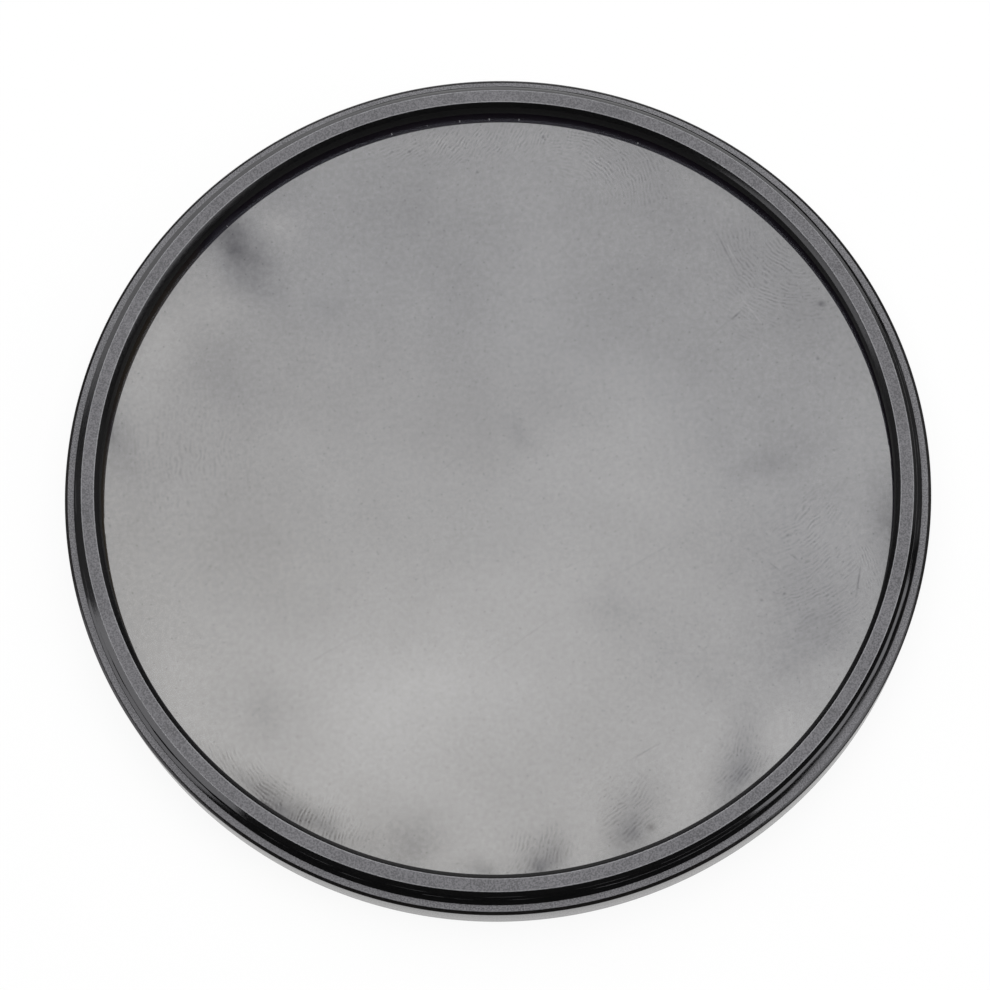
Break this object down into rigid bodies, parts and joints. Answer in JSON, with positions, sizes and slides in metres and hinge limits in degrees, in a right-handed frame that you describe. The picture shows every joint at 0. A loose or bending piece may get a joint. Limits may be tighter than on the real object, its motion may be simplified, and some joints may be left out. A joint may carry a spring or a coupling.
{
  "type": "screw-in lens filter",
  "caption": "Round neutral grey glass filter in a slim turned metal ring, with a male thread for a lens on the rear and a female thread for another filter or a cap on the front.",
  "frame": {"origin": "centre of the front rim's face, which the filter lies on", "axes": "+Z along the optical axis, from the front towards the lens side with the male thread"},
  "size_m": [0.0794, 0.0794, 0.0061],
  "materials": {
    "ring_black": "black anodised over a fine blasted surface",
    "grey_glass": "polished neutral grey, with finger marks and wipe smears on the rear",
    "retaining_black": "black anodised, matt"
  },
  "bodies": {
    "root": {"filter_ring": "ring_black", "glass": "grey_glass", "retaining_ring": "retaining_black"}
  },
  "joints": []
}
